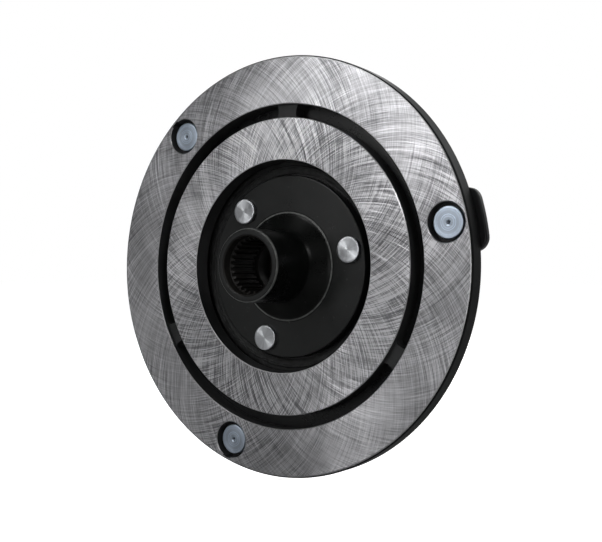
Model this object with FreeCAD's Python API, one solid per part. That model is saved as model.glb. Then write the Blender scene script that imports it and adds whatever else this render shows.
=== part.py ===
import FreeCAD, Part
import os
from math import pi, sin, cos, tan, radians, degrees, asin, sqrt
from FreeCAD import Vector as V

# Driven half of an electromagnetic clutch for a belt-driven compressor: a
# splined hub, a bonded rubber damper and the armature plate that the magnet
# pulls on to the rotor.
#
# Frame: the axis of rotation is Y. The origin is on the axis, in the plane of
# the armature's friction face. The friction face looks along -Y, towards the
# rotor and the compressor. The splined boss stands out towards -Y, and the
# side that the shaft bolt is fitted from is +Y. +Z is up.

# ---------------------------------------------------------------- dimensions
# armature plate
ARM_R = 56.3            # outer radius
ARM_HOLE_R = 28.5       # central hole
ARM_T = 5.08            # thickness
ARM_CH = 0.35           # edge chamfers
ARM_FRONT_CH = 0.7      # broken edge round the friction face
SLOT_RI = 39.85         # flux slot, inner radius
SLOT_RO = 43.44         # flux slot, outer radius
BRIDGE_DEG = 7.9        # width of a bridge across the slot
BRIDGE_SINK = 1.2       # a bridge lies this far below the friction face
BRIDGE_ANGLES = (87.0, 207.0, 327.0)
RIVET_ANGLES = (11.6, 131.6, 251.6)

# armature rivets
O_PCR = 50.37           # pitch circle radius
O_HEAD_R = 4.02
O_HEAD_Y = 1.23         # head's face, behind the friction face
O_CBORE_R = 4.97        # counterbore in the armature
O_CBORE_D = 2.75        # its depth
O_SHANK_R = 2.5
O_TAIL_R = 4.1
O_TAIL_T = 1.5

# hub
BOSS_R = 9.60
BOSS_TIP = 13.70        # boss end, in front of the friction face
BOSS_CH = 0.45
CONE_Y0 = 0.85          # the boss widens from here ...
CONE_R1 = 14.3          # ... to this radius at the flange
FLANGE_Y = 3.90         # flange's front face
FLANGE_T = 3.0
FLANGE_R = 24.80
FLANGE_CH = 0.55
PILOT_R = 12.0          # spigot that centres the inner plate
PILOT_Y = 11.6          # its end
WEB_Y0 = 5.2            # web that the shaft bolt clamps
WEB_Y1 = 8.8
BOLT_HOLE_R = 3.3       # clearance hole for an M6 bolt
BOLT_SEAT_R = 8.6       # recess for the bolt head
# internal spline
SPL_N = 28
SPL_ROOT_R = 7.40
SPL_TIP_R = 6.70
SPL_END = -1.4          # where the teeth stop
RELIEF_R = 7.60         # run-out groove behind the teeth
RELIEF_W = 1.1
PILOT_BORE_R = 6.45     # plain pilot for the shaft's end
LEADIN_R = 7.90         # mouth chamfer's radius at the boss end
MOUTH_R = 7.60          # plain counterbore in front of the teeth
MOUTH_DEPTH = 2.6

# hub rivets
I_PCR = 20.55
I_HEAD_R = 3.46
I_HEAD_Y = 2.72
I_SHANK_R = 2.5
I_TAIL_R = 3.9
I_TAIL_T = 1.5

# inner plate (pressed cup)
CUP_T = 2.2
CUP_Y = FLANGE_Y + FLANGE_T
CUP_RO = 27.6           # outside of its wall
CUP_BACK = 14.6         # end of its wall
CUP_BEND = 2.2          # outer bend radius

# outer plate (pressed ring with three ears)
OUT_T = 1.95
OUT_WALL_RI = 36.5
OUT_RING_R = 47.6
OUT_BACK = 15.0
OUT_BEND = 1.6          # inside bend radius
EAR_R = 58.0
EAR_HALF = 7.90
EAR_CORNER = 3.4

# rubber damper
BOND = 0.03             # gap left at a bonded face
RUB_FRONT = 6.15
RUB_BACK = 14.7
RIDGE_R = 27.2
RIDGE_Y = 5.65
LIP_R = 25.35

AXIS = V(0, 1, 0)
O = V(0, 0, 0)


def pt(r, y, a=0.0):
    """Point at radius r, depth y and angle a (degrees from +X towards +Z)."""
    t = radians(a)
    return V(r * cos(t), y, r * sin(t))


def cyl(r, y0, y1, a=None, pr=0.0):
    c = pt(pr, y0, a or 0.0) if pr else V(0, y0, 0)
    return Part.makeCylinder(r, y1 - y0, c, AXIS)


def revolve(edges):
    """Solid of revolution about Y from a closed list of edges in the XY plane."""
    face = Part.Face(Part.Wire(edges))
    return face.revolve(O, AXIS, 360)


def poly(points):
    pts = [V(r, y, 0) for r, y in points]
    return [Part.makeLine(pts[i], pts[(i + 1) % len(pts)]) for i in range(len(pts))]


def prism(points, y0, y1):
    """Prism along Y over a closed polygon of (x, z) points."""
    pts = [V(x, y0, z) for x, z in points]
    wire = Part.makePolygon(pts + [pts[0]])
    return Part.Face(wire).extrude(V(0, y1 - y0, 0))


def sector(r0, r1, y0, y1, a0, a1):
    """Ring segment with radial ends."""
    p = [pt(r0, y0, a0), pt(r1, y0, a0), pt(r1, y0, (a0 + a1) / 2), pt(r1, y0, a1),
         pt(r0, y0, a1), pt(r0, y0, (a0 + a1) / 2)]
    w = Part.Wire([Part.makeLine(p[0], p[1]), Part.Arc(p[1], p[2], p[3]).toShape(),
                   Part.makeLine(p[3], p[4]), Part.Arc(p[4], p[5], p[0]).toShape()])
    return Part.Face(w).extrude(V(0, y1 - y0, 0))


def turn(shape, a):
    """A copy of the shape turned by a degrees from +X towards +Z."""
    s = shape.copy()
    s.rotate(O, AXIS, -a)
    return s


def one(shape, name):
    s = shape.removeSplitter()
    solids = s.Solids
    assert len(solids) == 1, (name, len(solids))
    out = solids[0]
    assert out.isValid(), name
    return out


nodes = {}

# -------------------------------------------------------------- armature plate
c = ARM_CH
ring = revolve(poly([(ARM_HOLE_R + c, 0), (ARM_R - ARM_FRONT_CH, 0), (ARM_R, ARM_FRONT_CH),
                     (ARM_R, ARM_T - c),
                     (ARM_R - c, ARM_T), (ARM_HOLE_R + c, ARM_T), (ARM_HOLE_R, ARM_T - c),
                     (ARM_HOLE_R, c)]))
half = BRIDGE_DEG / 2
for k in range(3):
    a0 = BRIDGE_ANGLES[k] + half
    a1 = BRIDGE_ANGLES[(k + 1) % 3] - half
    if a1 < a0:
        a1 += 360
    slot = sector(SLOT_RI, SLOT_RO, -1, ARM_T + 1, a0, a1)
    ring = ring.cut(slot)
    sink = sector(SLOT_RI, SLOT_RO, -1, BRIDGE_SINK, BRIDGE_ANGLES[k] - half - 0.5,
                  BRIDGE_ANGLES[k] + half + 0.5)
    ring = ring.cut(sink)
for a in RIVET_ANGLES:
    ring = ring.cut(cyl(O_CBORE_R, -1, O_CBORE_D, a, O_PCR))
    ring = ring.cut(cyl(O_SHANK_R, 0, ARM_T + 1, a, O_PCR))
nodes["armature_plate"] = one(ring, "armature_plate")

# ------------------------------------------------------------- armature rivets
OUT_BACKFACE = ARM_T + OUT_T
for k, a in enumerate(RIVET_ANGLES):
    h = 0.3
    body = revolve(poly([(0, O_HEAD_Y), (O_HEAD_R - h, O_HEAD_Y), (O_HEAD_R, O_HEAD_Y + h),
                         (O_HEAD_R, O_CBORE_D), (O_SHANK_R, O_CBORE_D),
                         (O_SHANK_R, OUT_BACKFACE), (O_TAIL_R, OUT_BACKFACE),
                         (O_TAIL_R - 0.2, OUT_BACKFACE + 0.7),
                         (O_TAIL_R - 1.5, OUT_BACKFACE + O_TAIL_T),
                         (0, OUT_BACKFACE + O_TAIL_T)]))
    dimple = Part.makeCone(0.55, 0.0, 0.45, V(0, O_HEAD_Y, 0), AXIS)
    body = body.cut(dimple)
    body.translate(pt(O_PCR, 0, a))
    nodes["outer_rivet_%d" % (k + 1)] = one(body, "outer_rivet")

# ------------------------------------------------------------------------- hub
f = FLANGE_CH
slope = (CONE_R1 - BOSS_R) / (FLANGE_Y - CONE_Y0)
solid = revolve(poly([(0, -BOSS_TIP), (BOSS_R - BOSS_CH, -BOSS_TIP), (BOSS_R, -BOSS_TIP + BOSS_CH),
                      (BOSS_R, CONE_Y0), (CONE_R1 - 0.9, FLANGE_Y - 0.9 / slope),
                      (CONE_R1 - 0.25, FLANGE_Y - 0.22), (CONE_R1 + 0.75, FLANGE_Y),
                      (FLANGE_R - f, FLANGE_Y), (FLANGE_R, FLANGE_Y + f),
                      (FLANGE_R, FLANGE_Y + FLANGE_T - 0.3), (FLANGE_R - 0.3, FLANGE_Y + FLANGE_T),
                      (PILOT_R, FLANGE_Y + FLANGE_T), (PILOT_R, PILOT_Y - 0.5),
                      (PILOT_R - 0.5, PILOT_Y), (0, PILOT_Y)]))
# bore: mouth chamfer and counterbore, splined length, run-out groove, plain pilot, web with the
# bolt hole, bolt recess
pts = []
pitch = 360.0 / SPL_N
for i in range(SPL_N):
    a = i * pitch
    for r, d in ((SPL_TIP_R, -0.34), (SPL_ROOT_R, -0.19), (SPL_ROOT_R, 0.19), (SPL_TIP_R, 0.34)):
        t = radians(a + d * pitch)
        pts.append((r * cos(t), r * sin(t)))
solid = solid.cut(prism(pts, -BOSS_TIP - 1, SPL_END + 0.3))
ch = LEADIN_R - MOUTH_R + 0.1
solid = solid.cut(Part.makeCone(LEADIN_R, LEADIN_R - ch, ch, V(0, -BOSS_TIP, 0), AXIS))
solid = solid.cut(cyl(MOUTH_R, -BOSS_TIP - 1, -BOSS_TIP + MOUTH_DEPTH))
ch = MOUTH_R - SPL_TIP_R + 0.1
solid = solid.cut(Part.makeCone(MOUTH_R, MOUTH_R - ch, ch, V(0, -BOSS_TIP + MOUTH_DEPTH, 0), AXIS))
solid = solid.cut(cyl(RELIEF_R, SPL_END, SPL_END + RELIEF_W))
solid = solid.cut(cyl(PILOT_BORE_R, SPL_END, WEB_Y0))
solid = solid.cut(cyl(BOLT_HOLE_R, WEB_Y0 - 1, WEB_Y1 + 1))
solid = solid.cut(revolve(poly([(0, WEB_Y1), (BOLT_SEAT_R, WEB_Y1), (BOLT_SEAT_R, PILOT_Y - 0.4),
                                (BOLT_SEAT_R + 0.4, PILOT_Y), (BOLT_SEAT_R + 0.4, PILOT_Y + 1),
                                (0, PILOT_Y + 1)])))
for a in RIVET_ANGLES:
    solid = solid.cut(cyl(I_SHANK_R, 0, 20, a, I_PCR))
nodes["splined_hub"] = one(solid, "splined_hub")

# ------------------------------------------------------------------ hub rivets
cup_back = CUP_Y + CUP_T
for k, a in enumerate(RIVET_ANGLES):
    h = 0.3
    body = revolve(poly([(0, I_HEAD_Y), (I_HEAD_R - h, I_HEAD_Y), (I_HEAD_R, I_HEAD_Y + h),
                         (I_HEAD_R, FLANGE_Y), (I_SHANK_R, FLANGE_Y), (I_SHANK_R, cup_back),
                         (I_TAIL_R, cup_back), (I_TAIL_R - 0.2, cup_back + 0.7),
                         (I_TAIL_R - 1.4, cup_back + I_TAIL_T), (0, cup_back + I_TAIL_T)]))
    body.translate(pt(I_PCR, 0, a))
    nodes["inner_rivet_%d" % (k + 1)] = one(body, "inner_rivet")

# ----------------------------------------------------------------- inner plate
ri = CUP_RO - CUP_T
bx, by = CUP_RO - CUP_BEND, CUP_Y + CUP_BEND
s45 = sqrt(0.5)
edges = [Part.makeLine(V(PILOT_R + 0.02, CUP_Y, 0), V(bx, CUP_Y, 0)),
         Part.Arc(V(bx, CUP_Y, 0), V(bx + CUP_BEND * s45, by - CUP_BEND * s45, 0),
                  V(CUP_RO, by, 0)).toShape(),
         Part.makeLine(V(CUP_RO, by, 0), V(CUP_RO, CUP_BACK - 0.3, 0)),
         Part.makeLine(V(CUP_RO, CUP_BACK - 0.3, 0), V(CUP_RO - 0.3, CUP_BACK, 0)),
         Part.makeLine(V(CUP_RO - 0.3, CUP_BACK, 0), V(ri, CUP_BACK, 0)),
         Part.makeLine(V(ri, CUP_BACK, 0), V(ri, cup_back + 0.6, 0)),
         Part.makeLine(V(ri, cup_back + 0.6, 0), V(ri - 0.6, cup_back, 0)),
         Part.makeLine(V(ri - 0.6, cup_back, 0), V(PILOT_R + 0.02, cup_back, 0)),
         Part.makeLine(V(PILOT_R + 0.02, cup_back, 0), V(PILOT_R + 0.02, CUP_Y, 0))]
cup = revolve(edges)
for a in RIVET_ANGLES:
    cup = cup.cut(cyl(I_SHANK_R, 0, 20, a, I_PCR))
nodes["inner_plate"] = one(cup, "inner_plate")

# ---------------------------------------------------------------- outer plate
y0, y1 = ARM_T, ARM_T + OUT_T
wi, wo = OUT_WALL_RI, OUT_WALL_RI + OUT_T
ro = OUT_BEND + OUT_T           # bend radius on the friction side
cxr, cyr = wo + OUT_BEND, y1 + OUT_BEND
edges = [Part.makeLine(V(OUT_RING_R, y0, 0), V(cxr, y0, 0)),
         Part.Arc(V(cxr, y0, 0), V(cxr - ro * s45, cyr - ro * s45, 0), V(wi, cyr, 0)).toShape(),
         Part.makeLine(V(wi, cyr, 0), V(wi, OUT_BACK - 0.3, 0)),
         Part.makeLine(V(wi, OUT_BACK - 0.3, 0), V(wi + 0.3, OUT_BACK, 0)),
         Part.makeLine(V(wi + 0.3, OUT_BACK, 0), V(wo - 0.3, OUT_BACK, 0)),
         Part.makeLine(V(wo - 0.3, OUT_BACK, 0), V(wo, OUT_BACK - 0.3, 0)),
         Part.makeLine(V(wo, OUT_BACK - 0.3, 0), V(wo, cyr, 0)),
         Part.Arc(V(wo, cyr, 0), V(cxr - OUT_BEND * s45, cyr - OUT_BEND * s45, 0),
                  V(cxr, y1, 0)).toShape(),
         Part.makeLine(V(cxr, y1, 0), V(OUT_RING_R, y1, 0)),
         Part.makeLine(V(OUT_RING_R, y1, 0), V(OUT_RING_R, y0, 0))]
plate = revolve(edges)
# ears: straight-sided lugs with rounded corners, flared into the ring
flare = [(44.0, -12.6), (47.4, -10.4), (49.4, -8.6), (51.2, -EAR_HALF), (60.0, -EAR_HALF),
         (60.0, EAR_HALF), (51.2, EAR_HALF), (49.4, 8.6), (47.4, 10.4), (44.0, 12.6)]
ear = prism(flare, y0, y1).common(cyl(EAR_R, y0 - 1, y1 + 1))
tips = []
for e in ear.Edges:
    v = [p.Point for p in e.Vertexes]
    if len(v) == 2 and abs(v[0].y - v[1].y) > OUT_T * 0.9 and v[0].x > 55:
        tips.append(e)
ear = ear.makeFillet(EAR_CORNER, tips)
for a in RIVET_ANGLES:
    plate = plate.fuse(turn(ear, a))
for a in RIVET_ANGLES:
    plate = plate.cut(cyl(O_SHANK_R, 0, 20, a, O_PCR))
nodes["outer_plate"] = one(plate, "outer_plate")

# --------------------------------------------------------------- rubber damper
rb_i, rb_o = CUP_RO + BOND, OUT_WALL_RI - BOND
bend = CUP_BEND + BOND
mid = (rb_i + rb_o) / 2


def arc(a, b, c_):
    return Part.Arc(V(a[0], a[1], 0), V(b[0], b[1], 0), V(c_[0], c_[1], 0)).toShape()


def line(a, b):
    return Part.makeLine(V(a[0], a[1], 0), V(b[0], b[1], 0))


front_out = (rb_o, RUB_FRONT + 2.6)
edges = [line((LIP_R, RUB_FRONT), (RIDGE_R - 0.35, RUB_FRONT)),
         line((RIDGE_R - 0.35, RUB_FRONT), (RIDGE_R - 0.2, RIDGE_Y)),
         line((RIDGE_R - 0.2, RIDGE_Y), (RIDGE_R + 0.2, RIDGE_Y)),
         line((RIDGE_R + 0.2, RIDGE_Y), (RIDGE_R + 0.4, RUB_FRONT)),
         line((RIDGE_R + 0.4, RUB_FRONT), (RIDGE_R + 1.4, RUB_FRONT)),
         arc((RIDGE_R + 1.4, RUB_FRONT), (mid, RUB_FRONT + 1.9), front_out),
         line(front_out, (rb_o, RUB_BACK)),
         arc((rb_o, RUB_BACK), (mid, RUB_BACK - 1.6), (rb_i, RUB_BACK - 0.3)),
         line((rb_i, RUB_BACK - 0.3), (rb_i, by)),
         arc((rb_i, by), (bx + bend * s45, by - bend * s45), (bx, by - bend)),
         line((bx, by - bend), (LIP_R, by - bend)),
         line((LIP_R, by - bend), (LIP_R, RUB_FRONT))]
nodes["damper_rubber"] = one(revolve(edges), "damper_rubber")

# ------------------------------------------------------------------------ write
os.makedirs("parts", exist_ok=True)
for name in sorted(nodes):
    s = nodes[name]
    s.exportStep("parts/%s.step" % name)
    b = s.BoundBox
    print("%-16s %9.1f mm3  x %.2f..%.2f  y %.2f..%.2f  z %.2f..%.2f" % (
        name, s.Volume, b.XMin, b.XMax, b.YMin, b.YMax, b.ZMin, b.ZMax))
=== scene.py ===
import math
import bpy
import bmesh
import numpy as np
from mathutils import Matrix, Vector


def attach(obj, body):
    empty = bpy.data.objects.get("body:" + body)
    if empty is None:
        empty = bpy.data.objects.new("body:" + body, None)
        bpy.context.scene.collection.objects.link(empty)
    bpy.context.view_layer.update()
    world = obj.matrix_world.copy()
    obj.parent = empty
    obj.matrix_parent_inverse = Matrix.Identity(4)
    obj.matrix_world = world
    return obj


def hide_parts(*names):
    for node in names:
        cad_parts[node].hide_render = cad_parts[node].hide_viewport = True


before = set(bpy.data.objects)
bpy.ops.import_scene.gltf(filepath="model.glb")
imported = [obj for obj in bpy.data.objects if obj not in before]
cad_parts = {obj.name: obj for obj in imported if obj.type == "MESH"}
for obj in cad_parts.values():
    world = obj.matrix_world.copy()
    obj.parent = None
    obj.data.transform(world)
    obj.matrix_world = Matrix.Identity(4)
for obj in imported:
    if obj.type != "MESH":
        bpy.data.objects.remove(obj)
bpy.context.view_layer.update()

MM = 0.001
TAU = 2 * math.pi

# ---------------------------------------------------------------- dimensions (mm), as in the CAD
ARM_R, ARM_HOLE_R, ARM_T = 56.3, 28.5, 5.08
SLOT_RI, SLOT_RO = 39.85, 43.44
BRIDGE_DEG, BRIDGE_SINK = 7.9, 1.2
BRIDGES = (87.0, 207.0, 327.0)
RIVETS = (11.6, 131.6, 251.6)
O_PCR, O_HEAD_R, O_HEAD_Y, O_CB_R, O_CB_D, O_SH_R, O_TAIL_R = 50.37, 4.02, 1.23, 4.97, 2.75, 2.5, 4.1
I_PCR, I_HEAD_R, I_HEAD_Y, I_SH_R, I_TAIL_R = 20.55, 3.46, 2.72, 2.5, 3.9
OUT_T = 1.95
OUT_BACKFACE = ARM_T + OUT_T
FL_Y, FL_T, FL_R = 3.9, 3.0, 24.8
CUP_T, CUP_RO, CUP_BACK = 2.2, 27.6, 14.6
CUP_Y = FL_Y + FL_T
CUP_BF = CUP_Y + CUP_T


# ---------------------------------------------------------------- mesh helpers
def new_obj(name, verts, faces):
    me = bpy.data.meshes.new(name)
    me.from_pydata([tuple(v) for v in verts], [], faces)
    bm = bmesh.new()
    bm.from_mesh(me)
    bmesh.ops.remove_doubles(bm, verts=bm.verts, dist=1e-7)
    bmesh.ops.recalc_face_normals(bm, faces=bm.faces)
    bm.to_mesh(me)
    bm.free()
    o = bpy.data.objects.new(name, me)
    bpy.context.scene.collection.objects.link(o)
    return o


def lathe(name, prof, n=360, closed=True):
    """Solid of revolution about Y. prof is a list of (r, y) in mm, where r may be an array
    over the n angles. A closed profile is a ring; an open one starts and ends on the axis."""
    th = np.arange(n) * TAU / n
    verts, rows = [], []
    for r, y in prof:
        r = np.broadcast_to(np.asarray(r, float), (n,))
        if r.max() < 1e-9:
            rows.append([len(verts)])
            verts.append((0.0, y * MM, 0.0))
        else:
            rows.append(list(range(len(verts), len(verts) + n)))
            for t, q in zip(th, r):
                verts.append((q * math.cos(t) * MM, y * MM, q * math.sin(t) * MM))
    faces = []
    m = len(rows)
    for j in range(m if closed else m - 1):
        a, b = rows[j], rows[(j + 1) % m]
        if len(a) == 1 and len(b) == 1:
            continue
        for i in range(n):
            k = (i + 1) % n
            if len(a) == 1:
                faces.append((a[0], b[k], b[i]))
            elif len(b) == 1:
                faces.append((a[i], a[k], b[0]))
            else:
                faces.append((a[i], a[k], b[k], b[i]))
    return new_obj(name, verts, faces)


def loft(name, loops):
    """Closed prism-like solid through equal-length loops of 3-D points (mm), capped at both ends."""
    n = len(loops[0])
    verts = [tuple(c * MM for c in p) for l in loops for p in l]
    faces = [tuple(range(n)), tuple(range((len(loops) - 1) * n, len(loops) * n))[::-1]]
    for j in range(len(loops) - 1):
        for i in range(n):
            k = (i + 1) % n
            faces.append((j * n + i, j * n + k, (j + 1) * n + k, (j + 1) * n + i))
    return new_obj(name, verts, faces)


def arc(cx, cy, r, a0, a1, n=6):
    """Points of an arc in the (r, y) profile plane, angles in degrees."""
    return [(cx + r * math.cos(math.radians(a0 + (a1 - a0) * i / n)),
             cy + r * math.sin(math.radians(a0 + (a1 - a0) * i / n))) for i in range(n + 1)]


def active(o):
    for x in bpy.context.selected_objects:
        x.select_set(False)
    bpy.context.view_layer.objects.active = o
    o.select_set(True)


def boolean(o, tools, op="DIFFERENCE"):
    for t in tools:
        m = o.modifiers.new("b", "BOOLEAN")
        m.operation, m.solver, m.object = op, "EXACT", t
        active(o)
        bpy.ops.object.modifier_apply(modifier=m.name)
        bpy.data.objects.remove(t)


def finish_mesh(o, sharp=28, weighted=True):
    """Smooth shading with sharp edges by angle and flat faces kept flat."""
    bm = bmesh.new()
    bm.from_mesh(o.data)
    bmesh.ops.remove_doubles(bm, verts=bm.verts, dist=2e-7)
    bmesh.ops.dissolve_degenerate(bm, edges=bm.edges, dist=1e-7)
    lim = math.radians(sharp)
    for f in bm.faces:
        f.smooth = True
    for e in bm.edges:
        e.smooth = not (len(e.link_faces) == 2 and e.calc_face_angle(0) > lim)
    bm.to_mesh(o.data)
    bm.free()
    if weighted:
        m = o.modifiers.new("w", "WEIGHTED_NORMAL")
        m.mode, m.weight, m.keep_sharp = "FACE_AREA", 50, True
        active(o)
        bpy.ops.object.modifier_apply(modifier=m.name)


def place(o, pr, a, spin=0.0):
    """Moves a piece's mesh from the axis to radius pr at angle a, turned about its own axis first."""
    t = math.radians(a)
    o.data.transform(Matrix.Translation((pr * MM * math.cos(t), 0, pr * MM * math.sin(t))) @
                     Matrix.Rotation(-math.radians(spin), 4, "Y"))


# ---------------------------------------------------------------- node helpers
class Nodes:
    def __init__(self, name):
        self.mat = bpy.data.materials.new(name)
        self.mat.use_nodes = True
        self.t = self.mat.node_tree
        for x in list(self.t.nodes):
            self.t.nodes.remove(x)
        self.out = self.t.nodes.new("ShaderNodeOutputMaterial")

    def link(self, a, b):
        self.t.links.new(a, b)

    def put(self, sock, v):
        if isinstance(v, bpy.types.NodeSocket):
            self.link(v, sock)
        elif v is not None:
            sock.default_value = v

    def pos(self):
        n = self.t.nodes.new("ShaderNodeTexCoord")
        return n.outputs["Object"]

    def xyz(self, v):
        n = self.t.nodes.new("ShaderNodeSeparateXYZ")
        self.link(v, n.inputs[0])
        return n.outputs[0], n.outputs[1], n.outputs[2]

    def vec(self, x, y, z):
        n = self.t.nodes.new("ShaderNodeCombineXYZ")
        for s, v in zip(n.inputs, (x, y, z)):
            self.put(s, v)
        return n.outputs[0]

    def m(self, op, a, b=None, c=None, clamp=False):
        n = self.t.nodes.new("ShaderNodeMath")
        n.operation, n.use_clamp = op, clamp
        for s, v in zip(n.inputs, (a, b, c)):
            self.put(s, v)
        return n.outputs[0]

    def vm(self, op, a, b=None, scale=None):
        n = self.t.nodes.new("ShaderNodeVectorMath")
        n.operation = op
        self.put(n.inputs[0], a)
        if b is not None:
            self.put(n.inputs[1], b)
        if scale is not None:
            self.put(n.inputs["Scale"], scale)
        return n.outputs["Value"] if op in ("LENGTH", "DOT_PRODUCT") else n.outputs[0]

    def noise(self, v, scale=1.0, detail=2.0, rough=0.5, dist=0.0):
        n = self.t.nodes.new("ShaderNodeTexNoise")
        n.noise_dimensions = "3D"
        self.link(v, n.inputs["Vector"])
        n.inputs["Scale"].default_value = scale
        n.inputs["Detail"].default_value = detail
        n.inputs["Roughness"].default_value = rough
        n.inputs["Distortion"].default_value = dist
        return n.outputs[0]

    def ramp(self, v, *stops):
        n = self.t.nodes.new("ShaderNodeValToRGB")
        self.put(n.inputs[0], v)
        e = n.color_ramp.elements
        while len(e) < len(stops):
            e.new(0.5)
        for x, (p, c) in zip(e, stops):
            x.position = p
            x.color = (c, c, c, 1) if not isinstance(c, tuple) else (*c, 1)
        return n.outputs[0]

    def remap(self, v, a, b, c, d, clamp=True):
        n = self.t.nodes.new("ShaderNodeMapRange")
        n.clamp = clamp
        for s, x in zip(n.inputs, (v, a, b, c, d)):
            self.put(s, x)
        return n.outputs[0]

    def mix(self, f, a, b, mode="MIX"):
        n = self.t.nodes.new("ShaderNodeMix")
        n.data_type, n.blend_type = "RGBA", mode
        self.put(n.inputs[0], f)
        self.put(n.inputs[6], a if not isinstance(a, tuple) else (*a, 1))
        self.put(n.inputs[7], b if not isinstance(b, tuple) else (*b, 1))
        return n.outputs[2]

    def bump(self, h, strength, dist, normal=None):
        n = self.t.nodes.new("ShaderNodeBump")
        n.inputs["Strength"].default_value = strength
        n.inputs["Distance"].default_value = dist
        self.link(h, n.inputs["Height"])
        if normal is not None:
            self.link(normal, n.inputs["Normal"])
        return n.outputs[0]

    def bsdf(self, color, rough, metal=0.0, normal=None, aniso=0.0, tangent=None, spec=0.5,
             coat=0.0, coat_rough=0.2):
        n = self.t.nodes.new("ShaderNodeBsdfPrincipled")
        self.put(n.inputs["Base Color"], (*color, 1) if isinstance(color, tuple) else color)
        self.put(n.inputs["Roughness"], rough)
        self.put(n.inputs["Metallic"], metal)
        n.inputs["Specular IOR Level"].default_value = spec
        n.inputs["Anisotropic"].default_value = aniso
        n.inputs["Coat Weight"].default_value = coat
        n.inputs["Coat Roughness"].default_value = coat_rough
        if normal is not None:
            self.link(normal, n.inputs["Normal"])
        if tangent is not None:
            self.link(tangent, n.inputs["Tangent"])
        return n.outputs[0]

    def surface(self, s):
        self.link(s, self.out.inputs[0])
        return self.mat


def polar(g, p):
    """Radius in mm and angle (radians, from +X towards +Z) about the Y axis."""
    x, y, z = g.xyz(p)
    r = g.m("MULTIPLY", g.vm("LENGTH", g.vec(x, 0.0, z)), 1000.0)
    return r, g.m("ARCTAN2", z, x), x, y, z


def black_paint(name, base=(0.012, 0.0125, 0.013), rough=0.42, bump=0.12, turned=0.0, spec=0.5, painted_edge_highlights=()):
    """Satin black phosphate and e-coat over steel: fine grain, faint cloudiness and dust. A painted
    edge highlight: a lighter ring along each turned edge in painted_edge_highlights: (radius, half width, front y,
    back y) in mm."""
    g = Nodes(name)
    p = g.pos()
    cloud = g.noise(p, 90.0, 4, 0.6)
    grain = g.noise(p, 2600.0, 3, 0.6)
    dust = g.noise(p, 900.0, 2, 0.5)
    speck = g.remap(dust, 0.70, 0.78, 0.0, 1.0)
    col = g.mix(g.remap(cloud, 0.35, 0.65, 0.0, 1.0), base, tuple(c * 1.9 for c in base))
    col = g.mix(g.m("MULTIPLY", speck, 0.35), col, (0.09, 0.09, 0.09))
    ro = g.m("ADD", g.remap(cloud, 0.3, 0.7, rough - 0.07, rough + 0.08),
             g.m("MULTIPLY", g.m("SUBTRACT", grain, 0.5), 0.12))
    h = g.m("ADD", g.m("MULTIPLY", grain, 0.6), g.m("MULTIPLY", g.noise(p, 700.0, 2, 0.5), 0.8))
    if turned:
        r, a, x, y, z = polar(g, p)
        rings = g.noise(g.vec(g.m("MULTIPLY", r, 4.0), g.m("MULTIPLY", y, 4000.0), 0.0), 1.0, 2, 0.6)
        h = g.m("ADD", h, g.m("MULTIPLY", rings, turned))
    nrm = g.bump(h, bump, 0.00006)
    # painted highlight: each listed turned edge gets a lighter ring in place of its lit edge line
    if painted_edge_highlights:
        r, a, x, y, z = polar(g, p)
        mask = None
        for wr, hw, y0, y1 in painted_edge_highlights:
            q = g.remap(g.m("ABSOLUTE", g.m("SUBTRACT", r, wr)), hw * 0.4, hw, 1.0, 0.0)
            q = g.m("MULTIPLY", q, g.m("MULTIPLY", g.m("GREATER_THAN", y, y0 * MM), g.m("LESS_THAN", y, y1 * MM)))
            mask = q if mask is None else g.m("MAXIMUM", mask, q)
        mask = g.m("MULTIPLY", mask, g.remap(g.noise(p, 700.0, 3, 0.6), 0.3, 0.6, 0.55, 1.0))
        col = g.mix(mask, col, (0.15, 0.155, 0.15))
    return g.surface(g.bsdf(col, ro, 0.0, nrm, spec=spec))


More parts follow.
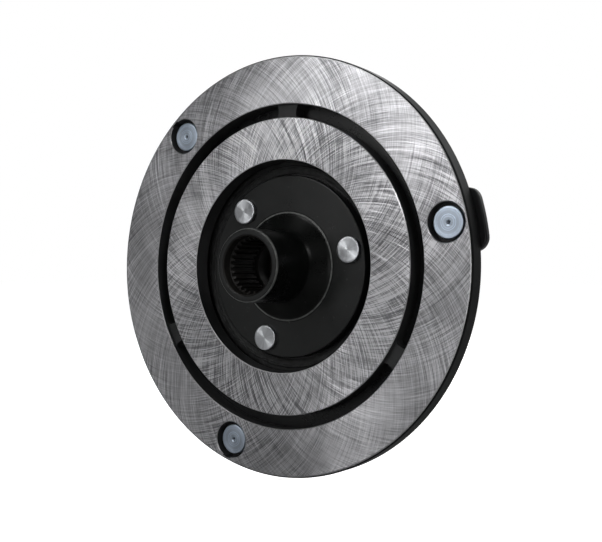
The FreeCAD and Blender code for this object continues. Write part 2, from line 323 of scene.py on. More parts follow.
def friction_steel(name):
    """Ground steel: two crossed sets of wheel arcs. An arc is the track of a wheel's rim whose
    centre went round the axis, so an arc's angle shifts with the radius."""
    g = Nodes(name)
    p = g.pos()
    r, a, x, y, z = polar(g, p)
    rr = g.m("MULTIPLY", r, r)
    rhat = g.vm("NORMALIZE", g.vec(x, 0.0, z))
    that = g.vm("CROSS_PRODUCT", rhat, (0.0, 1.0, 0.0))
    wheels = {}

    def family(rho, d, sign, fine, seed, along, detail=1.0):
        key = (rho, d, sign)
        if key not in wheels:
            c = g.m("DIVIDE", g.m("ADD", rr, d * d - rho * rho), g.m("MULTIPLY", r, 2.0 * d))
            sh = g.m("ARCCOSINE", g.m("MAXIMUM", g.m("MINIMUM", c, 1.0), -1.0))
            al = g.m("ADD", a, g.m("MULTIPLY", sh, sign))
            wheels[key] = (g.m("COSINE", al), g.m("SINE", al))
        ca, sa = wheels[key]
        v = g.vec(g.m("MULTIPLY", ca, fine), g.m("MULTIPLY", sa, fine),
                  g.m("ADD", g.m("MULTIPLY", r, along), seed))
        return g.noise(v, 1.0, detail, 0.6)

    def add(*terms):
        s = None
        for v, w in terms:
            q = g.m("MULTIPLY", g.m("SUBTRACT", v, 0.5), w)
            s = q if s is None else g.m("ADD", s, q)
        return s

    fam = {}
    for sg, sd in ((1.0, 0.0), (-1.0, 50.0)):
        fam[sg] = [family(38.3, 33.8, sg, 24.0, 3.1 + sd, 0.03),
                   family(38.3, 33.8, sg, 64.0, 7.7 + sd, 0.05),
                   family(38.3, 33.8, sg, 130.0, 12.3 + sd, 0.09),
                   family(36.2, 31.5, sg, 180.0, 21.9 + sd, 0.18),
                   family(40.6, 36.4, sg, 105.0, 33.3 + sd, 0.08)]
    weights = (0.30, 0.65, 1.15, 1.15, 0.90)
    plus = add(*zip(fam[1.0], weights))
    minus = add(*zip(fam[-1.0], weights))
    # how deep the wheel cut: patch by patch, and deeper on the inner ring
    uneven = g.noise(p, 34.0, 2, 0.5)
    deeper = g.remap(r, 41.0, 42.0, 1.5, 0.72)
    cut = g.m("MULTIPLY", g.remap(uneven, 0.36, 0.64, 0.60, 1.45), deeper)
    # which set lies on top: mostly patch by patch, partly scratch by scratch
    patch = g.m("SUBTRACT", g.noise(p, 50.0, 2, 0.5), 0.5)
    top = g.m("ADD", g.m("MULTIPLY", g.m("MULTIPLY", g.m("SUBTRACT", plus, minus), 0.9), cut), g.m("MULTIPLY", patch, 2.6))
    top = g.m("ADD", top, g.remap(r, 38.0, 52.0, 0.52, 0.60))
    top = g.m("MINIMUM", g.m("MAXIMUM", top, 0.04), 0.96)
    wm = g.m("SUBTRACT", 1.0, top)
    share = g.m("MINIMUM", g.m("MAXIMUM", g.m("ADD", g.m("MULTIPLY", patch, 1.8), 0.54), 0.25), 0.75)
    h = g.m("ADD", g.m("MULTIPLY", plus, share), g.m("MULTIPLY", minus, g.m("SUBTRACT", 1.0, share)))

    # single deep scores and single burnished lines
    extra = g.m("MULTIPLY", g.m("SUBTRACT", cut, 1.0), 0.055)

    def lines(k, lo, hi, c, d):
        off = g.m("MULTIPLY", extra, 1.0 if c < d else -1.0)
        return g.m("MAXIMUM", g.remap(g.m("ADD", fam[1.0][k], off), lo, hi, c, d),
                   g.remap(g.m("ADD", fam[-1.0][k], off), lo, hi, c, d))

    dark = g.m("MAXIMUM", lines(1, 0.22, 0.31, 1.0, 0.0), lines(2, 0.22, 0.30, 1.0, 0.0))
    light = g.m("MAXIMUM", lines(4, 0.70, 0.80, 0.0, 1.0), lines(2, 0.70, 0.78, 0.0, 1.0))
    fade = g.remap(g.noise(p, 90.0, 2, 0.5), 0.40, 0.62, 0.0, 1.0)
    blotch = g.noise(p, 38.0, 3, 0.55)
    speck = g.m("MULTIPLY", g.m("SUBTRACT", g.noise(p, 420.0, 3, 0.65), 0.5), 0.30)
    calm = g.remap(g.noise(p, 42.0, 2, 0.5), 0.36, 0.64, 0.7, 1.2)
    calm = g.m("MULTIPLY", calm, cut)
    tone = g.m("ADD", g.m("MULTIPLY", h, calm), g.m("MULTIPLY", speck, cut))
    base = g.mix(g.remap(tone, -0.195, 0.195, 0.0, 1.0), STEEL_LO, STEEL_HI)
    fade = g.m("MULTIPLY", fade, g.m("MINIMUM", cut, 2.0))
    base = g.mix(g.m("MULTIPLY", g.m("MULTIPLY", dark, fade), 0.55), base, (0.10, 0.10, 0.105))
    base = g.mix(g.m("MULTIPLY", g.m("MULTIPLY", light, fade), 0.7), base, (0.96, 0.955, 0.97))
    base = g.mix(g.remap(blotch, 0.35, 0.7, 0.0, 0.15), base, (0.36, 0.35, 0.375))
    tonal = g.remap(g.noise(g.vm("ADD", p, (0.31, 0.17, 0.23)), 24.0, 2, 0.5), 0.36, 0.64, 0.94, 1.22)
    base = g.vm("MINIMUM", g.vm("SCALE", base, scale=tonal), (0.97, 0.97, 0.97))
    ro = g.remap(h, -0.25, 0.25, 0.43, 0.36)
    # the groove direction turns with the radius; the highlight spreads across the grooves
    cp = g.m("DIVIDE", g.m("ADD", rr, 38.3 ** 2 - 33.8 ** 2), g.m("MULTIPLY", r, 2.0 * 38.3))
    sp = g.m("SQRT", g.m("SUBTRACT", 1.0, g.m("MULTIPLY", cp, cp)))
    tp = g.vm("SUBTRACT", g.vm("SCALE", rhat, scale=cp), g.vm("SCALE", that, scale=sp))
    tm = g.vm("ADD", g.vm("SCALE", rhat, scale=cp), g.vm("SCALE", that, scale=sp))
    nrm = g.bump(h, 0.5, 0.00003)
    s1 = g.bsdf(base, ro, 1.0, nrm, 0.85, tp)
    s2 = g.bsdf(base, ro, 1.0, nrm, 0.85, tm)
    mx = g.t.nodes.new("ShaderNodeMixShader")
    g.put(mx.inputs[0], wm)
    g.link(s1, mx.inputs[1])
    g.link(s2, mx.inputs[2])
    return g.surface(mx.outputs[0])


STEEL_LO, STEEL_HI = (0.24, 0.24, 0.25), (0.84, 0.835, 0.86)


def turned_rivet(name, tint, rough, ring_mm, aniso, ringing, turn):
    """Rivet head formed by an orbiting tool: rings about the rivet's own axis, which is kept in
    an attribute. The highlight's spread lies at an angle to the rings."""
    g = Nodes(name)
    at = g.t.nodes.new("ShaderNodeAttribute")
    at.attribute_name = "own"
    own = at.outputs["Vector"]
    x, y, z = g.xyz(own)
    r = g.vm("LENGTH", g.vec(x, 0.0, z))
    wob = g.m("MULTIPLY", g.m("SUBTRACT", g.noise(own, 380.0, 2, 0.5), 0.5), 0.9)
    q = g.m("ADD", g.m("MULTIPLY", r, 1000.0 / ring_mm), wob)
    rings = g.noise(g.vec(q, g.m("MULTIPLY", y, 3000.0), 0.0), 1.0, 3, 0.6)
    cloud = g.noise(own, 500.0, 3, 0.6)
    col = g.mix(g.remap(rings, 0.36, 0.64, 0.0, 1.0), tuple(c * (1.0 - 0.42 * ringing) for c in tint), tint)
    col = g.mix(g.remap(cloud, 0.45, 0.75, 0.0, 0.3 * ringing + 0.05), col, tuple(c * 0.55 for c in tint))
    rhat = g.vm("NORMALIZE", g.vec(x, 0.0, z))
    # painted shade: darker sectors round the head in place of the turned head's bow-tie reflection
    painted_fan_shade = g.noise(g.vm("ADD", g.vm("SCALE", rhat, scale=3.2), tuple(10.0 * turn + k for k in (1.0, 2.0, 3.0))), 1.0, 2, 0.6)
    col = g.mix(g.remap(painted_fan_shade, 0.40, 0.66, 0.0, 0.30 - 0.2 * ringing), col, tuple(c * 0.45 for c in tint))
    that = g.vm("CROSS_PRODUCT", rhat, (0.0, 1.0, 0.0))
    t = math.radians(turn)
    tang = g.vm("ADD", g.vm("SCALE", rhat, scale=math.cos(t)), g.vm("SCALE", that, scale=math.sin(t)))
    nrm = g.bump(rings, 0.5 * ringing + 0.02, 0.00004)
    ro = g.remap(rings, 0.35, 0.65, rough + 0.06 * ringing, rough - 0.06 * ringing)
    # painted shade: the dimple the tool's point leaves is painted dark at the centre
    centre = g.m("MULTIPLY", g.remap(g.m("MULTIPLY", r, 1000.0), 0.34, 0.60, 0.85, 0.0), min(ringing, 1.0) if ringing > 0.5 else 0.0)
    col = g.mix(centre, col, (0.05, 0.06, 0.07))
    return g.surface(g.bsdf(col, ro, 1.0, nrm, aniso, tang))


def edge_steel(name):
    """Bare steel of a broken edge: fine, with no lay."""
    g = Nodes(name)
    p = g.pos()
    n1 = g.noise(p, 900.0, 3, 0.6)
    col = g.mix(g.remap(n1, 0.3, 0.7, 0.0, 1.0), (0.42, 0.42, 0.43), (0.66, 0.66, 0.67))
    return g.surface(g.bsdf(col, g.remap(n1, 0.3, 0.7, 0.42, 0.34), 1.0, g.bump(n1, 0.2, 0.00003)))


def rubber_mat(name):
    g = Nodes(name)
    p = g.pos()
    fine = g.noise(p, 1900.0, 4, 0.65)
    mid = g.noise(p, 420.0, 3, 0.6)
    col = g.mix(g.remap(mid, 0.35, 0.7, 0.0, 1.0), (0.009, 0.0095, 0.0095), (0.032, 0.033, 0.033))
    nrm = g.bump(g.m("ADD", fine, g.m("MULTIPLY", mid, 1.5)), 0.7, 0.00018)
    return g.surface(g.bsdf(col, g.remap(mid, 0.3, 0.7, 0.62, 0.8), 0.0, nrm, spec=0.4))


M_FRICTION = friction_steel("ground_steel")
# one black coat in two copies: the walls, bridges and counterbores get a lighter, more specular copy, painted light
# in their shade; the rim keeps a darker one
M_RIM = black_paint("armature_coat", (0.008, 0.0082, 0.0084), 0.42, 0.12, spec=0.09)
M_WALL_PAINTED_LIGHT = black_paint("armature_coat_walls_painted_light", (0.020, 0.0205, 0.021), 0.40, 0.15, spec=0.25)
M_EDGE = edge_steel("armature_edge")
# painted edge highlights on the cone's root fillet and on the boss end's outer edge
M_HUB = black_paint("hub_phosphate", (0.0056, 0.0061, 0.0060), 0.34, 0.10, 0.5, spec=0.36,
                    painted_edge_highlights=((14.62, 0.30, 3.0, 4.2), (9.42, 0.24, -14.0, -13.1)))
# painted shade: the boss side and cone are a darker, less specular copy of the hub's black; the lower roughness and
# turning rings are the turned finish
M_BOSS_PAINTED_SHADE = black_paint("hub_turned_black_painted_shade", (0.0028, 0.0031, 0.0029), 0.30, 0.05, 0.35, spec=0.15,
                     painted_edge_highlights=((14.62, 0.30, 3.0, 4.2), (9.42, 0.24, -14.0, -13.1)))
M_BORE = black_paint("bore_black", (0.0080, 0.0074, 0.0066), 0.45, 0.10, spec=0.30)
M_PLATE = black_paint("plate_ecoat", (0.007, 0.0072, 0.0078), 0.30, 0.14, spec=0.35)
M_ZINC = turned_rivet("zinc_rivet", (0.745, 0.852, 0.99), 0.45, 0.42, 0.3, 1.0, 0.0)
M_BRIGHT = turned_rivet("bright_rivet", (0.72, 0.74, 0.765), 0.36, 0.16, 0.8, 0.12, 100.0)
M_RUBBER = rubber_mat("damper_rubber")


def dress(o, *mats):
    o.data.materials.clear()
    for m in mats:
        o.data.materials.append(m)


# ---------------------------------------------------------------- armature plate
N = 720
c = 0.35
arm = lathe("armature_disc", [(ARM_HOLE_R + 0.25, 0), (ARM_R - 0.73, 0)] + arc(ARM_R - 0.7, 0.7, 0.7, -87, 0, 7) + [(ARM_R, ARM_T - c),
                              (ARM_R - c, ARM_T), (ARM_HOLE_R + c, ARM_T), (ARM_HOLE_R, ARM_T - c),
                              (ARM_HOLE_R, 0.25), (ARM_HOLE_R + 0.07, 0.07)], N)
e = 0.2
groove = lathe("groove", [(SLOT_RI - 0.5 - e, -0.5), (SLOT_RI, e), (SLOT_RI, BRIDGE_SINK),
                          (SLOT_RO, BRIDGE_SINK), (SLOT_RO, e), (SLOT_RO + 0.5 + e, -0.5)], N)


def slot_loop(a0, a1, y, off, rad=1.15):
    """Outline of an arc slot with rounded corners, grown by off mm."""
    rm = (SLOT_RI + SLOT_RO) / 2
    hw = (SLOT_RO - SLOT_RI) / 2 + off
    pts = []
    s0, s1 = math.radians(a0) * rm - off, math.radians(a1) * rm + off
    q = rad + off
    for (sc, rc, st) in ((s1 - q, hw - q, 90), (s1 - q, -hw + q, 0), (s0 + q, -hw + q, -90), (s0 + q, hw - q, -180)):
        for i in range(7):
            t = math.radians(st - 90 * i / 6)
            pts.append((sc + q * math.cos(t), rc + q * math.sin(t)))
        if st in (0, -180):
            nn = 240
            (sa, ra) = pts[-1]
            sb = s0 + q if st == 0 else s1 - q
            for i in range(1, nn):
                pts.append((sa + (sb - sa) * i / nn, ra))
    return [((rm + b) * math.cos(a / rm), y, (rm + b) * math.sin(a / rm)) for a, b in pts]


cutters = [groove]
for k in range(3):
    a0 = BRIDGES[k] + BRIDGE_DEG / 2
    a1 = BRIDGES[(k + 1) % 3] - BRIDGE_DEG / 2
    if a1 < a0:
        a1 += 360
    cutters.append(loft("slot", [slot_loop(a0, a1, y, o) for y, o in
                                 ((0.6, 0.0), (ARM_T - 0.15, 0.0), (ARM_T + 0.3, 0.45))]))
for a in RIVETS:
    h = lathe("cb", [(0, -0.4), (O_CB_R + 0.2 + 0.4, -0.4), (O_CB_R, 0.2), (O_CB_R, O_CB_D),
                     (O_SH_R, O_CB_D), (O_SH_R, ARM_T + 0.5), (0, ARM_T + 0.5)], 128, closed=False)
    place(h, O_PCR, a)
    cutters.append(h)
boolean(arm, cutters)
finish_mesh(arm, 25)
dress(arm, M_FRICTION, M_RIM, M_WALL_PAINTED_LIGHT, M_EDGE)
# index 2, the walls, bridges and counterbores, takes the copy painted lighter
for f in arm.data.polygons:
    fr = math.hypot(f.center[0], f.center[2]) / MM
    front = abs(f.center[1]) < 0.00036
    if front and f.normal[1] < -0.995:
        f.material_index = 0
    elif front and f.normal[1] < (-0.90 if fr > ARM_R - 1.0 else -0.3):
        f.material_index = 3
    elif fr < ARM_R - 1.0 and abs(f.normal[1]) < 0.9 or fr < ARM_R - 1.0 and f.center[1] < 4.9 * MM:
        f.material_index = 2
    else:
        f.material_index = 1

# ---------------------------------------------------------------- hub
SPL_N, SPL_ROOT, SPL_TIP = 28, 7.40, 6.70
PER = 24
NH = SPL_N * PER
u = (np.arange(NH) % PER) / PER


def tooth(u):
    """Radius of the splined wall over one pitch: space in the middle, land at the ends."""
    d = np.abs(u - 0.5)
    t = np.clip((0.345 - d) / 0.14, 0, 1)
    t = t * t * (3 - 2 * t)
    return SPL_TIP + (SPL_ROOT - SPL_TIP) * t


spl = tooth(u)
TIP = -13.70
BOSS_R = 9.60
prof = [(BOSS_R - 0.6, TIP)] + arc(BOSS_R - 0.6, TIP + 0.6, 0.6, -90, 0, 8)
prof += [(BOSS_R, TIP + 0.6 + 13.9 * i / 6) for i in range(1, 6)]
# cone and its root fillet
for i in range(0, 7):
    t = i / 6
    prof.append((BOSS_R + (t ** 1.35) * 0.9, 0.35 + 1.05 * t))
prof += [(14.3 - 0.95, 3.9 - 0.66), (14.3 - 0.55, 3.9 - 0.38), (14.3 - 0.15, 3.9 - 0.17), (14.3 + 0.3, 3.9 - 0.045),
         (14.3 + 0.8, 3.9)]
prof += [(FL_R - 0.5, FL_Y)] + arc(FL_R - 0.5, FL_Y + 0.5, 0.5, -90, 0, 5)
prof += [(FL_R, FL_Y + FL_T - 0.3), (FL_R - 0.3, FL_Y + FL_T), (12.0, FL_Y + FL_T), (12.0, 11.1), (11.5, 11.6),
         (9.0, 11.6), (8.6, 11.2), (8.6, 8.95), (8.45, 8.8), (3.6, 8.8), (3.3, 9.1 - 0.6), (3.3, 5.5), (3.6, 5.2), (6.3, 5.2),
         (6.45, 5.05), (6.45, -0.15), (6.6, -0.3), (7.6, -0.3), (7.6, -1.4)]
prof = [q for i, q in enumerate(prof) if i == 0 or abs(q[0] - prof[i - 1][0]) + abs(q[1] - prof[i - 1][1]) > 1e-4]
prof = [(np.full(NH, q[0]), q[1]) for q in prof]
prof.append((np.minimum(spl, 7.6), -1.4))
for yy in np.linspace(-1.4, TIP + 3.6, 10)[1:]:
    prof.append((spl, yy))
for t in np.linspace(0, 1, 9)[1:]:
    yy = TIP + 2.6 + (1 - t)
    prof.append((np.maximum(spl, 7.60 - (yy - TIP - 2.6)), yy))
for q, yy in ((7.60, 1.4), (7.60, 0.42), (7.64, 0.30), (7.86, 0.08), (7.98, 0.025), (8.2, 0.0)):
    prof.append((np.full(NH, q), TIP + yy))
hub = lathe("hub_forging", prof, NH)
cutters = []
for a in RIVETS:
    h = lathe("rh", [(0, 3.0), (I_SH_R, 3.0), (I_SH_R, 8.0), (0, 8.0)], 64, closed=False)
    place(h, I_PCR, a)
    cutters.append(h)
boolean(hub, cutters)
finish_mesh(hub, 32)
dress(hub, M_HUB, M_BOSS_PAINTED_SHADE, M_BORE)
# index 1, the cone and boss side, takes the copy darkened as painted shade
for f in hub.data.polygons:
    fx, fy, fz = f.center
    fr = math.hypot(fx, fz) / MM
    fy /= MM
    if fr < 7.82 and fy < 5.3:
        f.material_index = 2
    elif fr < 15.05 and fy < 3.895 and (f.normal[1] > -0.985 or fr > 9.7):
        f.material_index = 1


# ---------------------------------------------------------------- rivets
def rivet(name, head_r, head_y, seat_y, sh_r, back_y, tail_r, tail_t, pr, a, mats, dimple, dish):
    b = 0.28
    prof = [(0, head_y + dimple)]
    if dimple:
        prof += [(0.18, head_y + dimple * 0.95), (0.42, head_y + dimple * 0.45), (0.58, head_y + 0.05), (0.72, head_y - 0.015),
                 (0.95, head_y)]
    for q in np.linspace(0.3 if dimple else 0.1, 0.9, 9):
        rr = q * (head_r - b)
        if rr > 1.0 or not dimple:
            prof.append((rr, head_y + dish * math.cos(q * 9.0) * 0.5))
    prof += arc(head_r - b, head_y + b, b, -90, 0, 5)
    prof += [(head_r, seat_y - 0.1), (head_r - 0.1, seat_y), (sh_r, seat_y), (sh_r, back_y), (tail_r - 0.12, back_y)]
    prof += [(tail_r, back_y + 0.2), (tail_r - 0.08, back_y + 0.5), (tail_r - 0.42, back_y + 0.9),
             (tail_r - 1.0, back_y + 1.22), (tail_r - 1.8, back_y + tail_t * 0.93), (tail_r - 2.6, back_y + tail_t), (1.0, back_y + tail_t),
             (0.7, back_y + tail_t - 0.06), (0, back_y + tail_t - 0.1)]
    o = lathe(name, prof, 96, closed=False)
    finish_mesh(o, 40)
    at = o.data.attributes.new("own", "FLOAT_VECTOR", "POINT")
    at.data.foreach_set("vector", np.array([v.co[:] for v in o.data.vertices], dtype=np.float32).ravel())
    place(o, pr, a)
    dress(o, *mats)
    if len(mats) > 1:
        for f in o.data.polygons:
            f.material_index = 0 if f.center[1] < seat_y * MM else 1
    return o


outer_rivets = [rivet("armature_rivet_%d" % (k + 1), O_HEAD_R, O_HEAD_Y, O_CB_D, O_SH_R, OUT_BACKFACE, O_TAIL_R, 1.5, O_PCR, a,
                      (M_ZINC,), 0.4, 0.02) for k, a in enumerate(RIVETS)]
inner_rivets = [rivet("hub_rivet_%d" % (k + 1), I_HEAD_R, I_HEAD_Y, FL_Y, I_SH_R, CUP_BF, I_TAIL_R, 1.5, I_PCR, a,
                      (M_BRIGHT,), 0.0, 0.012) for k, a in enumerate(RIVETS)]

# ---------------------------------------------------------------- inner plate
bx, by = CUP_RO - 2.2, CUP_Y + 2.2
ri = CUP_RO - CUP_T
prof = [(12.02, CUP_Y)] + arc(bx, by, 2.2, -90, 0, 8)
prof += [(CUP_RO, CUP_BACK - 0.3), (CUP_RO - 0.3, CUP_BACK), (ri + 0.3, CUP_BACK), (ri, CUP_BACK - 0.3)]
prof += [(ri - 0.9 + 0.9 * math.cos(math.radians(q)), CUP_BF + 0.9 - 0.9 * math.sin(math.radians(q))) for q in (0, 18, 36, 54, 72, 90)]
prof += [(12.4, CUP_BF), (12.02, CUP_BF - 0.3)]
cup = lathe("inner_cup", prof, 360)
cutters = []
for a in RIVETS:
    h = lathe("rh", [(0, 6.0), (I_SH_R, 6.0), (I_SH_R, 12.0), (0, 12.0)], 64, closed=False)
    place(h, I_PCR, a)
    cutters.append(h)
boolean(cup, cutters)
finish_mesh(cup, 32)
dress(cup, M_PLATE)

# ---------------------------------------------------------------- outer plate
RING_R, EAR_R, EAR_HALF = 47.6, 58.0, 7.90


def ear_outline(inset):
    """(x, z) points of the ring's outline with three ears, inset by a given amount."""
    R, ER, EH, RC = RING_R - inset, EAR_R - inset, EAR_HALF - inset, 3.4 - inset
    RB = 4.0 + inset                       # concave root radius
    side = []
    # corner at the tip: between the arc of radius ER and the straight side v = EH
    cu = math.sqrt((ER - RC) ** 2 - (EH - RC) ** 2)
    cv = EH - RC
    t_end = math.atan2(cv, cu)             # direction of the corner's centre
    for i in range(9):                     # the tip's arc, from the middle
        t = t_end * i / 8
        side.append((ER * math.cos(t), ER * math.sin(t)))
    for i in range(1, 9):
        t = t_end + (math.pi / 2 - t_end) * i / 8
        side.append((cu + RC * math.cos(t), cv + RC * math.sin(t)))
    # root fillet: tangent to v = EH and to the ring's arc from outside
    fv = EH + RB
    fu = math.sqrt((R + RB) ** 2 - fv ** 2)
    ft = math.atan2(fv, fu)
    for i in range(1, 5):
        q = i / 5
        side.append((cu * (1 - q) + fu * q, EH))
    for i in range(10):
        t = -math.pi / 2 + (ft + math.pi - 2 * math.pi + math.pi / 2) * i / 9
        side.append((fu + RB * math.cos(t), fv + RB * math.sin(t)))
    half = [(math.hypot(*q), math.atan2(q[1], q[0])) for q in side]
    out = []
    for k, a in enumerate(RIVETS):
        a = math.radians(a)
        for r, t in reversed(half[1:]):
            out.append((r, a - t))
        for r, t in half:
            out.append((r, a + t))
        t0, t1 = a + half[-1][1], a + math.radians(120) - half[-1][1]
        for i in range(1, 120):
            out.append((R, t0 + (t1 - t0) * i / 120))
    return out


def plate_mesh():
    # outline rows: front edge rounded a little, back edge with a sharper burr
    rows = []
    y0, y1 = ARM_T, OUT_BACKFACE
    for inset, y in ((0.45, y0), (0.22, y0 + 0.06), (0.06, y0 + 0.22), (0.0, y0 + 0.45), (0.0, y1 - 0.25), (0.08, y1 - 0.08), (0.25, y1)):
        rows.append([(r, t, y) for r, t in ear_outline(inset)])
    base = ear_outline(0.45)
    th = [t for r, t in base]
    wi, wo = 36.5, 36.5 + OUT_T
    cxr, cyr = wo + 1.6, y1 + 1.6
    back = [(cxr + 1.2, y1)] + [(cxr - 1.6 * math.sin(math.radians(q)), cyr - 1.6 * math.cos(math.radians(q))) for q in range(0, 91, 15)]
    back += [(wo, 15.0 - 0.3), (wo - 0.12, 15.0 - 0.08), (wo - 0.35, 15.0), (wi + 0.35, 15.0), (wi + 0.1, 15.0 - 0.1), (wi, 15.0 - 0.35)]
    ro = 1.6 + OUT_T
    back += [(cxr - ro * math.cos(math.radians(q)), cyr - ro * math.sin(math.radians(q))) for q in range(0, 91, 10)]
    back += [(cxr + 1.2, y0)]
    for r, y in back:
        rows.append([(r, t, y) for t in th])
    n = len(th)
    verts = [(r * math.cos(t) * MM, y * MM, r * math.sin(t) * MM) for row in rows for r, t, y in row]
    faces = []
    m = len(rows)
    for j in range(m):
        for i in range(n):
            k, l = (i + 1) % n, (j + 1) % m
            faces.append((j * n + i, j * n + k, l * n + k, l * n + i))
    return new_obj("driver_plate", verts, faces)


plate = plate_mesh()
cutters = []
for a in RIVETS:
    h = lathe("rh", [(0, 4.0), (O_SH_R, 4.0), (O_SH_R, 9.0), (0, 9.0)], 64, closed=False)
    place(h, O_PCR, a)
    cutters.append(h)
boolean(plate, cutters)
finish_mesh(plate, 32)
dress(plate, M_PLATE)

# ---------------------------------------------------------------- rubber damper
rb_i, rb_o, mid = CUP_RO + 0.03, 36.47, (CUP_RO + 36.5) / 2
F, B = 6.15, 14.7
th = np.arange(720) * TAU / 720
wob = 0.05 * np.sin(th * 7 + 1.0) + 0.04 * np.sin(th * 17 + 0.4) + 0.03 * np.sin(th * 41)
prof = [(25.35 + 0.1 * wob, 6.86), (25.35 + 0.4 * np.abs(wob), F + 0.15), (25.55 + 0.5 * wob, F + 0.02), (26.3, F), (26.72, F - 0.02), (26.9, F - 0.16),
        (27.02, F - 0.42), (27.12, F - 0.5), (27.28, F - 0.5), (27.38, F - 0.42), (27.5, F - 0.16), (27.68, F), (28.6, F)]
p0, p1, p2 = np.array((28.6, F)), np.array((mid, F + 1.9)), np.array((rb_o, F + 2.6))
for i in range(1, 15):
    t = i / 15
    q = p0 * (1 - t) ** 2 + 2 * t * (1 - t) * (2 * p1 - (p0 + p2) / 2) + p2 * t * t
    prof.append((float(q[0]), float(q[1])))
prof += [(rb_o, F + 2.6), (rb_o, B)]
p0, p1, p2 = np.array((rb_o, B)), np.array((mid, B - 1.6)), np.array((rb_i, B - 0.3))
for i in range(1, 15):
    t = i / 15
    q = p0 * (1 - t) ** 2 + 2 * t * (1 - t) * (2 * p1 - (p0 + p2) / 2) + p2 * t * t
    prof.append((float(q[0]), float(q[1])))
prof += [(rb_i, B - 0.3)] + arc(bx, by, 2.23, 0, -90, 8)
rub = lathe("damper_ring", prof, 720)
finish_mesh(rub, 40, weighted=False)
dress(rub, M_RUBBER)

# ---------------------------------------------------------------- into the frame
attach(arm, "armature"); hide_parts("armature_plate")
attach(plate, "armature"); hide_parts("outer_plate")
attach(hub, "hub"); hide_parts("splined_hub")
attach(cup, "hub"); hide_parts("inner_plate")
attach(rub, "damper"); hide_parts("damper_rubber")
for k in range(3):
    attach(outer_rivets[k], "armature"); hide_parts("outer_rivet_%d" % (k + 1))
    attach(inner_rivets[k], "hub"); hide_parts("inner_rivet_%d" % (k + 1))

# ---------------------------------------------------------------- stage
# The world shows white behind the object. As a light it is dim in front, where the softboxes
# stand, and brighter behind, where the white backdrop would be.
world = bpy.data.worlds.new("studio")
bpy.context.scene.world = world
world.use_nodes = True
wt = world.node_tree
for x in list(wt.nodes):
    wt.nodes.remove(x)


def wnode(kind, **kw):
    n = wt.nodes.new(kind)
    for k, v in kw.items():
        setattr(n, k, v)
    return n


wout, lp, mixw = wnode("ShaderNodeOutputWorld"), wnode("ShaderNodeLightPath"), wnode("ShaderNodeMixShader")
shown, lit = wnode("ShaderNodeBackground"), wnode("ShaderNodeBackground")
shown.inputs[0].default_value = (1.0, 1.0, 1.0, 1)
shown.inputs[1].default_value = 1.0
tc, sep, mr = wnode("ShaderNodeTexCoord"), wnode("ShaderNodeSeparateXYZ"), wnode("ShaderNodeMapRange", interpolation_type="SMOOTHSTEP")
wt.links.new(tc.outputs["Generated"], sep.inputs[0])
wt.links.new(sep.outputs[1], mr.inputs[0])
for k, v in zip((1, 2, 3, 4), (-0.15, 0.55, 0.047, 0.33)):
    mr.inputs[k].default_value = v
lit.inputs[0].default_value = (0.96, 0.98, 1.0, 1)
wt.links.new(mr.outputs[0], lit.inputs[1])
wt.links.new(lp.outputs["Is Camera Ray"], mixw.inputs[0])
wt.links.new(lit.outputs[0], mixw.inputs[1])
wt.links.new(shown.outputs[0], mixw.inputs[2])
wt.links.new(mixw.outputs[0], wout.inputs[0])

FLOOR_Z = -0.0575
bpy.ops.mesh.primitive_plane_add(size=60, location=(0, 0, FLOOR_Z))
floor = bpy.context.object
floor.name = "floor"
g = Nodes("floor")
em = g.t.nodes.new("ShaderNodeEmission")
em.inputs[0].default_value = (1, 1, 1, 1)
em.inputs[1].default_value = 0.88
ads = g.t.nodes.new("ShaderNodeAddShader")
g.link(g.bsdf((0.9, 0.9, 0.9), 0.9, 0.0, spec=0.0), ads.inputs[0])
g.link(em.outputs[0], ads.inputs[1])
fm = g.t.nodes.new("ShaderNodeMixShader")
g.link(g.t.nodes.new("ShaderNodeLightPath").outputs["Is Camera Ray"], fm.inputs[0])
g.link(g.bsdf((0.35, 0.35, 0.35), 0.9, 0.0, spec=0.0), fm.inputs[1])
g.link(ads.outputs[0], fm.inputs[2])
g.surface(fm.outputs[0])
dress(floor, g.mat)


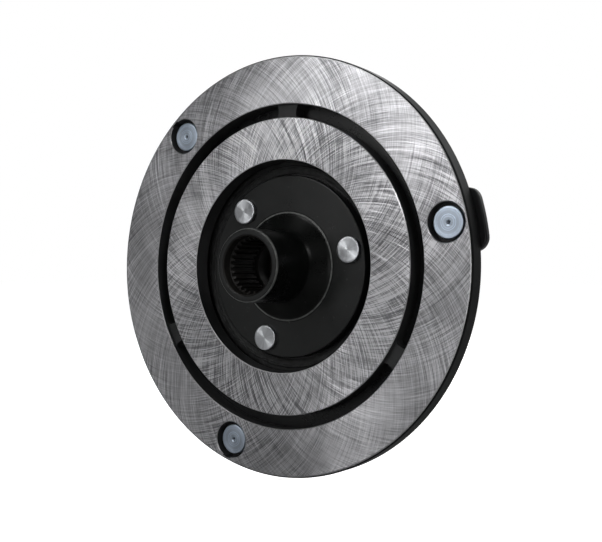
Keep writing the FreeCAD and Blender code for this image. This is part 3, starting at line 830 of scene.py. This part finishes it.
def softbox(name, az, el, radiance, size=0.2, dist=0.7, color=(1, 1, 1)):
    """Square softbox facing the origin. Azimuth 0 is in front (-Y), 90 is +X."""
    d = bpy.data.lights.new(name, "AREA")
    d.shape, d.size, d.color = "SQUARE", size, color
    d.energy = math.pi * size * size * radiance
    o = bpy.data.objects.new(name, d)
    a, e = math.radians(az), math.radians(el)
    o.location = Vector((math.sin(a) * math.cos(e), -math.cos(a) * math.cos(e), math.sin(e))) * dist
    o.visible_camera = False
    o.rotation_mode = "QUATERNION"
    o.rotation_quaternion = (-o.location).to_track_quat("-Z", "Y")
    bpy.context.scene.collection.objects.link(o)
    return o


for i, (az, el, dist, radiance) in enumerate((
        (-14, 21, 0.30, 5.97),
        (-21, 35, 0.30, 5.51),
        (-21, 7, 0.30, 1.39),
        (-14, 28, 0.30, 3.20),
        (-35, -14, 0.30, 0.89),
        (-28, 7, 0.30, 0.92),
        (-14, -49, 0.70, 9.21),
        (-21, 49, 0.70, 6.28),
        (21, 0, 0.30, 4.74),
        (21, -28, 0.70, 6.96),
        (-42, 0, 0.30, 0.52),
        (-21, -28, 0.70, 1.06),
        (-56, -28, 0.30, 1.49),
        (14, -14, 0.30, 2.09),
        (60, 35, 0.70, 11.55),
        (75, -40, 0.70, 13.55))):
    softbox("box_%02d" % i, az, el, radiance, 0.206 * dist, dist)
softbox("back_left", 215, 30, 3.0, 0.35)
softbox("back_right", 150, 35, 2.2, 0.35)
softbox("back_top", 185, 58, 4.0, 0.35, 0.8)

# ---------------------------------------------------------------- camera
cam = bpy.data.cameras.new("camera")
cam.lens, cam.sensor_width, cam.sensor_fit = 57.364, 36.0, "HORIZONTAL"
cam.clip_start, cam.clip_end = 0.01, 100
co = bpy.data.objects.new("camera", cam)
right, up, fwd = Vector((0.82594, 0.56379, 0.00129)), Vector((0.00614, -0.01130, 0.99992)), Vector((-0.56379, 0.82591, 0.01279))
rot = Matrix((right, up, -fwd)).transposed().to_4x4()
co.matrix_world = Matrix.Translation((0.14980, -0.20849, -0.00456)) @ rot
bpy.context.scene.collection.objects.link(co)
bpy.context.scene.camera = co
bpy.context.scene.view_settings.view_transform = "Standard"
